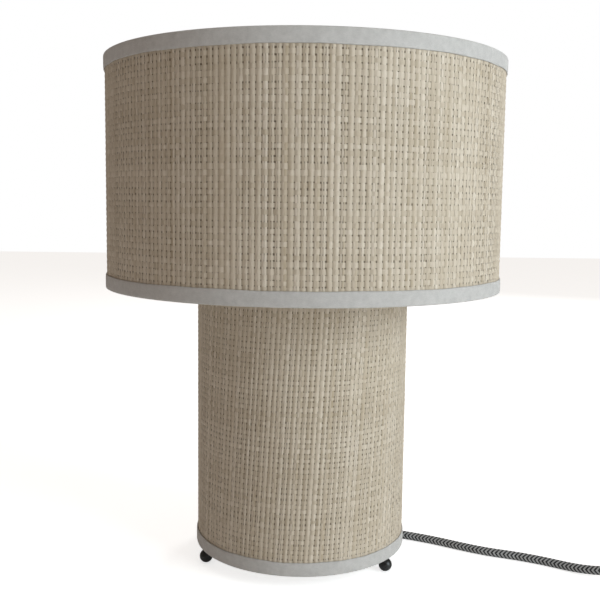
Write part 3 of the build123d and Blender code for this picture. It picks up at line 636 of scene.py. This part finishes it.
def add_tie(material):
    """A hook and loop band round the bundle of turns, with its free end pressed down over the top."""
    half_w = (COIL_OUTER_R - COIL_INNER_R) / 2 + TIE_ROOM
    half_h = COIL_HEIGHT / 2 + TIE_SLACK
    middle_r, middle_z = (COIL_OUTER_R + COIL_INNER_R) / 2, COIL_HEIGHT / 2 + TIE_SLACK + TIE_T / 2
    inner_w, inner_h = half_w - TIE_CORNER_R, half_h - TIE_CORNER_R
    band = []
    for sx, sz, start in ((1, 1, 0), (-1, 1, 90), (-1, -1, 180), (1, -1, 270)):
        band += rounded_corner(middle_r + sx * inner_w, middle_z + sz * inner_h, TIE_CORNER_R, start)
    band.append(band[0])
    outer_r, top_z = middle_r + half_w, middle_z + half_h
    free_end = [(outer_r + TIE_SLACK, middle_z - inner_h), (outer_r + TIE_LAP, middle_z - inner_h / 2)]
    free_end += rounded_corner(middle_r + inner_w, middle_z + inner_h, TIE_CORNER_R + TIE_LAP, 0)
    free_end += [(middle_r, top_z + TIE_LAP), (middle_r - TIE_TAB, top_z + TIE_LAP + TIE_TAB_LIFT)]
    angle = math.radians(TIE_AT_DEG)
    points, faces = [], []
    for path in (band, free_end):
        first = len(points)
        for r, z in path:
            for offset in (-TIE_WIDTH / 2, TIE_WIDTH / 2):
                x = COIL_CENTRE[0] + r * math.cos(angle) - offset * math.sin(angle)
                y = COIL_CENTRE[1] + r * math.sin(angle) + offset * math.cos(angle)
                points.append((x * MM, y * MM, max(z, TIE_T / 2) * MM))
        for i in range(first, len(points) - 2, 2):
            faces.append((i, i + 1, i + 3, i + 2))
    tie = add_mesh("hook_and_loop_tie", points, faces, material)
    thicken = tie.modifiers.new("thickness", "SOLIDIFY")
    thicken.thickness = TIE_T * MM
    thicken.offset = 0
    return finished(tie, "root", "tie", "cord_tie")


# ---------------------------------------------------------------- woven raffia


def weave_tree(name, upright):
    """Strands of one direction in a basket weave round a drum.

    Upright strands stand in pairs. The others run round the drum one by one.
    """
    tree = bpy.data.node_groups.new(name, "GeometryNodeTree")
    sockets = {}
    for label, kind in (
        ("Radius", "NodeSocketFloat"), ("Low", "NodeSocketFloat"), ("High", "NodeSocketFloat"),
        ("Pairs", "NodeSocketInt"), ("Rows", "NodeSocketInt"), ("Strand Width", "NodeSocketFloat"),
        ("Spread", "NodeSocketFloat"), ("Lift", "NodeSocketFloat"), ("Crown", "NodeSocketFloat"),
        ("Rib Depth", "NodeSocketFloat"), ("Lean", "NodeSocketFloat"), ("Wander", "NodeSocketFloat"),
        ("Width Step", "NodeSocketFloat"), ("Bunching", "NodeSocketFloat"), ("Tone Step", "NodeSocketFloat"),
        ("Seed", "NodeSocketInt"), ("Strand Finish", "NodeSocketMaterial"),
    ):
        sockets[label] = tree.interface.new_socket(label, in_out="INPUT", socket_type=kind).identifier
    tree.interface.new_socket("Weave", in_out="OUTPUT", socket_type="NodeSocketGeometry")
    m = Maker(tree)
    given = tree.nodes.new("NodeGroupInput")
    g = {label: Value(m, given.outputs[label]) for label in sockets}
    radius, low, high, pairs, rows = (g[k] for k in ("Radius", "Low", "High", "Pairs", "Rows"))
    crossings = rows if upright else pairs
    groups = pairs if upright else rows
    in_group, steps = (2, 2) if upright else (1, 4)
    line = m.add("GeometryNodeMeshLine", None, {"Count": groups * in_group, "Offset": (0, 0, 0)})
    index = m.add("GeometryNodeInputIndex")
    marked = m.add("GeometryNodeStoreNamedAttribute", {"data_type": "FLOAT", "domain": "POINT"},
                   {"Geometry": line, "Name": "strand", "Value": index})
    strip = m.add("GeometryNodeMeshGrid", None,
                  {"Size X": 1.0, "Size Y": 1.0, "Vertices X": crossings * steps + 1, "Vertices Y": 3})
    placed = m.add("GeometryNodeInstanceOnPoints", None, {"Points": marked, "Instance": strip})
    real = m.add("GeometryNodeRealizeInstances", None, {"Geometry": placed})
    strand = m.add("GeometryNodeInputNamedAttribute", {"data_type": "FLOAT"}, {"Name": "strand"})
    x, y, _ = m.parts(m.add("GeometryNodeInputPosition"))
    t = x + 0.5
    group = (strand / in_group).of("FLOOR")
    side = strand - group * in_group if upright else 0.5
    # 1 for even groups and -1 for odd ones, so that neighbours cross on opposite sides
    parity = 1 - (group / 2).of("FRACT") * 4
    full = 2 * math.pi
    seed = g["Seed"]
    chance = m.noise(m.vector(strand * WIDTH_STRIDE, seed * WIDTH_SEED_STEP, WIDTH_LAYER), detail=0.0)
    width = g["Strand Width"] * ((chance - 0.5) * g["Width Step"] + 1)
    height = high - low
    if upright:
        z = low + t * height
        drift_place = m.vector(strand * DRIFT_STRIDE, z * DRIFT_RATE, seed)
        drift = m.noise(drift_place, detail=1.0) - 0.5
        pitch = radius * full / pairs
        thin_place = m.vector(strand * THINNING_STRIDE, z * THINNING_RATE, seed + THINNING_SEED)
        thin = m.noise(thin_place, detail=1.0) * WIDTH_RANGE + LEAST_WIDTH
        from_rib = (side - 0.5) * g["Spread"] + y * width * thin
        sideways = (group + 0.5) * pitch + from_rib + drift * g["Wander"]
        across_rib = from_rib * 2 / pitch
        angle = sideways / radius + g["Lean"] * (z - low) / radius
        wave = ((t * rows - 0.5) * math.pi).of("COSINE") * parity
        along = z
    else:
        turn = t * full
        cosine, sine = turn.of("COSINE"), turn.of("SINE")
        drift_place = m.vector(cosine * DRIFT_CIRCLE, sine * DRIFT_CIRCLE, strand * DRIFT_STRIDE + seed)
        drift = m.noise(drift_place, detail=1.0) - 0.5
        thin_place = m.vector(cosine * THINNING_CIRCLE, sine * THINNING_CIRCLE, strand * THINNING_STRIDE)
        thin = m.noise(thin_place, detail=1.0) * WIDTH_RANGE + LEAST_WIDTH
        crowd_place = m.vector(group * ROW_STRIDE, cosine * BUNCHING_CIRCLE, sine * BUNCHING_CIRCLE + seed)
        crowd = m.noise(crowd_place, detail=1.0)
        row = height / rows
        row_middle = low + (group + 0.5 + (crowd - 0.5) * g["Bunching"]) * row
        z = row_middle + drift * g["Wander"] + y * width * thin
        across_rib = ((t * pairs).of("FRACT") - 0.5) * 2
        angle = turn + g["Lean"] * (z - low) / radius
        wave = ((t * pairs - 0.5) * math.pi).of("COSINE") * parity * -1
        along = turn * radius
    own = m.noise(m.vector(strand * TONE_STRIDE, seed * TONE_SEED_STEP, TONE_LAYER), detail=0.0) - 0.5
    blade_place = m.vector(strand * BLADE_STRIDE, along * BLADE_RATE, seed + BLADE_SEED)
    blade = m.noise(blade_place, detail=1.0) - 0.5
    tone = own * g["Tone Step"] + blade * BLADE_TONE + 0.5
    # the wave with flatter tops, as a strand lies flat where it crosses another
    fullness = wave * (1.5 - wave * wave * 0.5)
    slack_place = m.vector(strand * SLACK_STRIDE, along * SLACK_RATE, seed + SLACK_SEED)
    slack = m.noise(slack_place, detail=1.0) - 0.5
    reach = radius + g["Lift"] * fullness - g["Crown"] * y * y * 4 + slack * g["Lift"]
    reach = reach - g["Rib Depth"] * across_rib * across_rib
    place = m.vector(reach * angle.of("COSINE"), reach * angle.of("SINE"), z)
    uv = m.vector(along, y * width, 0.0)
    with_uv = m.add("GeometryNodeStoreNamedAttribute", {"data_type": "FLOAT2", "domain": "CORNER"},
                    {"Geometry": real, "Name": "UVMap", "Value": uv})
    toned = m.add("GeometryNodeStoreNamedAttribute", {"data_type": "FLOAT", "domain": "POINT"},
                  {"Geometry": with_uv, "Name": "tone", "Value": tone})
    moved = m.add("GeometryNodeSetPosition", None, {"Geometry": toned, "Position": place})
    if upright:
        moved = m.add("GeometryNodeFlipFaces", None, {0: moved})
    smooth = m.add("GeometryNodeSetShadeSmooth", None, {0: moved})
    real_again = m.add("GeometryNodeRealizeInstances", None, {"Geometry": smooth})
    dressed = m.add("GeometryNodeSetMaterial", None, {"Geometry": real_again, "Material": g["Strand Finish"]})
    out = tree.nodes.new("NodeGroupOutput")
    tree.links.new(dressed.socket, out.inputs[0])
    return tree, sockets


def grown(name, tree, sockets, **values):
    """The mesh that a tree grows, as a plain piece."""
    seed_mesh = bpy.data.meshes.new(name + "_seed")
    holder = bpy.data.objects.new(name + "_seed", seed_mesh)
    bpy.context.scene.collection.objects.link(holder)
    modifier = holder.modifiers.new("grow", "NODES")
    modifier.node_group = tree
    for label, value in values.items():
        modifier[sockets[label.replace("_", " ")]] = value
    graph = bpy.context.evaluated_depsgraph_get()
    mesh = bpy.data.meshes.new_from_object(holder.evaluated_get(graph), depsgraph=graph)
    bpy.data.objects.remove(holder)
    mesh.name = name
    piece = bpy.data.objects.new(name, mesh)
    bpy.context.scene.collection.objects.link(piece)
    return piece


def add_weave(prefix, body, pairs, row, round_share, lean, finish_up, finish_round, seed):
    """The two directions of strands that make one drum's cloth."""
    node = prefix + "_raffia"
    low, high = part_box(node)
    outer = high.x
    middle = outer - STRAND_LIFT * CLOTH_MIDDLE_IN
    rows = round((high.z - low.z) / row)
    pitch = 2 * math.pi * middle / pairs
    shared = dict(Radius=middle, Low=low.z, High=high.z, Pairs=pairs, Rows=rows, Lift=STRAND_LIFT,
                  Rib_Depth=RIB_DEPTH, Lean=lean)
    uprights = grown(prefix + "_upright_strands", *weave_tree(prefix + "_uprights", True), **shared,
                     **UPRIGHT_UNEVENNESS, Crown=STRAND_CROWN, Strand_Width=pitch * UPRIGHT_SHARE,
                     Spread=pitch * PAIR_SPREAD, Wander=pitch * UPRIGHT_WANDER, Seed=seed,
                     Strand_Finish=finish_up)
    rounds = grown(prefix + "_round_strands", *weave_tree(prefix + "_rounds", False), **shared,
                   **ROUND_UNEVENNESS, Crown=ROUND_CROWN, Strand_Width=row * round_share, Spread=0.0,
                   Wander=row * ROUND_WANDER, Seed=seed + ROUNDS_SEED, Strand_Finish=finish_round)
    finished(uprights, body, "raffia", node)
    finished(rounds, body, "raffia", node)


# ---------------------------------------------------------------- tape


def add_tape(node, ring, liner, body, upwards, material):
    """Tape folded over a rim: down the weave, over the edge, round the wire and on to the liner."""
    low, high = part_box(node)
    ring_low, ring_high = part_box(ring)
    wire = ring_high.z - ring_low.z
    outer = high.x - TAPE_MIDDLE_IN
    liner_in = ring_high.x
    wire_in = liner_in - wire
    wire_side, liner_side = wire_in - TAPE_OFF_WIRE, liner_in - TAPE_OFF_WIRE
    height = high.z - low.z
    edge, sign = (high.z, -1) if upwards else (low.z, 1)
    # radius and depth from the rim: the outside from its tucked edge, the fold over the rim, the inside
    profile = [(outer - 0.40 * MM, height), (outer - 0.12 * MM, height - 0.9 * MM)]
    profile += [(outer, height * 0.66), (outer, height * 0.33), (outer, 1.0 * MM)]
    profile += [(outer - 0.15 * MM, 0.45 * MM), (outer - 0.55 * MM, TAPE_OFF_RIM)]
    profile += [((outer + wire_in) / 2, TAPE_OFF_RIM), (wire_in, TAPE_OFF_RIM), (wire_side, 0.8 * MM)]
    profile += [(wire_side, wire + 0.8 * MM), (liner_side, wire + 2.8 * MM), (liner_side, TAPE_INSIDE)]
    around = TAPE_SEGMENTS
    distance = [0.0]
    for a, b in zip(profile, profile[1:]):
        distance.append(distance[-1] + math.dist(a, b))
    points, faces, uvs = [], [], []
    for k in range(around):
        turn = 2 * math.pi * k / around
        ripple = LONG_RIPPLE * math.sin(LONG_RIPPLES_ROUND * turn + outer * LONG_RIPPLE_START)
        ripple += SHORT_RIPPLE * math.sin(SHORT_RIPPLES_ROUND * turn + SHORT_RIPPLE_START)
        for i, (radius, depth) in enumerate(profile):
            if i == 0:
                depth = depth + (ripple - LONG_RIPPLE - SHORT_RIPPLE) * MM
            points.append((radius * math.cos(turn), radius * math.sin(turn), edge + sign * depth))
    count = len(profile)
    for k in range(around):
        for i in range(count - 1):
            a, b = k * count + i, (k + 1) % around * count + i
            u, v = outer * 2 * math.pi * k / around, outer * 2 * math.pi * (k + 1) / around
            face = [(a, (u, distance[i])), (b, (v, distance[i])),
                    (b + 1, (v, distance[i + 1])), (a + 1, (u, distance[i + 1]))]
            if upwards:
                face.reverse()
            faces.append(tuple(p for p, _ in face))
            uvs += [w for _, w in face]
    piece = add_mesh(node.replace("trim", "tape"), points, faces, material, uvs)
    thicken = piece.modifiers.new("thickness", "SOLIDIFY")
    thicken.thickness = TAPE_T
    thicken.offset = 0
    finished(piece, body, "tape", node)


# ---------------------------------------------------------------- the lamp


# the camera and the cord first, then the studio, the cloth and the tapes, and last the other finishes
add_camera()
rubber = moulded("plug_rubber", rgba(0.012, 0.012, 0.012), rgba(0.024, 0.024, 0.024), rough=0.5)
tie_cloth = moulded("tie_cloth", rgba(0.012, 0.012, 0.013), rgba(0.035, 0.035, 0.036), rough=0.9,
                    grain_scale=1600.0, depth=0.25)
braid = braid_finish()
add_cord(braid, rubber, tie_cloth)
add_studio()

raffia_up = raffia_finish("raffia_upright", rgba(0.80, 0.70, 0.585), rgba(0.41, 0.31, 0.19))
raffia_round = raffia_finish("raffia_round", rgba(0.78, 0.68, 0.565), rgba(0.40, 0.30, 0.18))
add_weave("shade", "shade", SHADE_PAIRS, SHADE_ROW, SHADE_ROUND_SHARE, 0.0, raffia_up, raffia_round, seed=3)
add_weave("base", "root", BASE_PAIRS, BASE_ROW, BASE_ROUND_SHARE, BASE_LEAN, raffia_up, raffia_round, seed=11)

tape = tape_finish()
for prefix, body in (("shade", "shade"), ("base", "root")):
    for where, upwards in (("top", True), ("bottom", False)):
        names = f"{prefix}_trim_{where}", f"{prefix}_{where}_ring", f"{prefix}_liner"
        add_tape(*names, body, upwards, tape)

for prefix in ("shade", "base"):
    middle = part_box(prefix + "_liner")[1].x - LINER_HALF_T
    paint(liner_finish(prefix + "_styrene", middle), prefix + "_liner")

white_coat = moulded("white_powder_coat", rgba(0.74, 0.74, 0.72), rgba(0.84, 0.84, 0.82), rough=0.45,
                     grain_scale=1300.0, depth=0.04)
black_coat = moulded("black_coat", rgba(0.006, 0.006, 0.006), rgba(0.016, 0.016, 0.016), rough=0.34)
holder_black = moulded("phenolic_black", rgba(0.014, 0.014, 0.014), rgba(0.028, 0.027, 0.026), rough=0.42)
switch_black = moulded("switch_black", rgba(0.010, 0.010, 0.010), rgba(0.020, 0.020, 0.020), rough=0.32,
                       grain_scale=1500.0)
bulb_white = moulded("bulb_white", rgba(0.82, 0.82, 0.81), rgba(0.90, 0.90, 0.89), rough=0.35)
porcelain = moulded("porcelain", rgba(0.80, 0.79, 0.75), rgba(0.88, 0.87, 0.84), rough=0.2,
                    grain_scale=150.0)
insulation = insulation_finish()
zinc = metal("zinc_plate", rgba(0.52, 0.53, 0.54), rgba(0.72, 0.72, 0.71), rough=0.34)
brass = metal("brass", rgba(0.60, 0.42, 0.16), rgba(0.82, 0.63, 0.28), rough=0.28)
aluminium = metal("rolled_aluminium", rgba(0.66, 0.66, 0.66), rgba(0.84, 0.84, 0.84), rough=0.3)

paint(white_coat, "shade_top_ring", "shade_bottom_ring", "shade_arms", "shade_fitter_plate")
paint(white_coat, "base_top_ring", "base_bottom_ring", "base_top_spider", "base_bottom_spider")
paint(black_coat, "foot_ball_1", "foot_ball_2", "foot_ball_3")
paint(holder_black, "holder_cap", "holder_body", "gallery_ring_lower", "gallery_ring_upper", "cord_grip")
paint(porcelain, "holder_core")
paint(zinc, "stem_tube", "stem_nuts", "stem_washers", "cord_grip_screw", "holder_grub_screw")
paint(zinc, "terminal_screws", "switch_screws", "rocker_pin")
paint(brass, "holder_screw_shell", "holder_centre_contact", "holder_terminals", "rocker_contact")
paint(brass, "switch_terminals", "plug_pin_left", "plug_pin_right", "bulb_tip")
paint(aluminium, "bulb_cap", "bulb_board_post")
paint(bulb_white, "bulb_collar", "bulb_led_board")
paint(holder_black, "bulb_insulator")
paint(insulation, "stem_wires")
paint(opal_glass(), "bulb_globe")
paint(switch_black, "switch_base", "switch_cover", "switch_rocker")
paint(rubber, "plug_body", "plug_pin_sleeves")
paint(braid, "stem_cord")
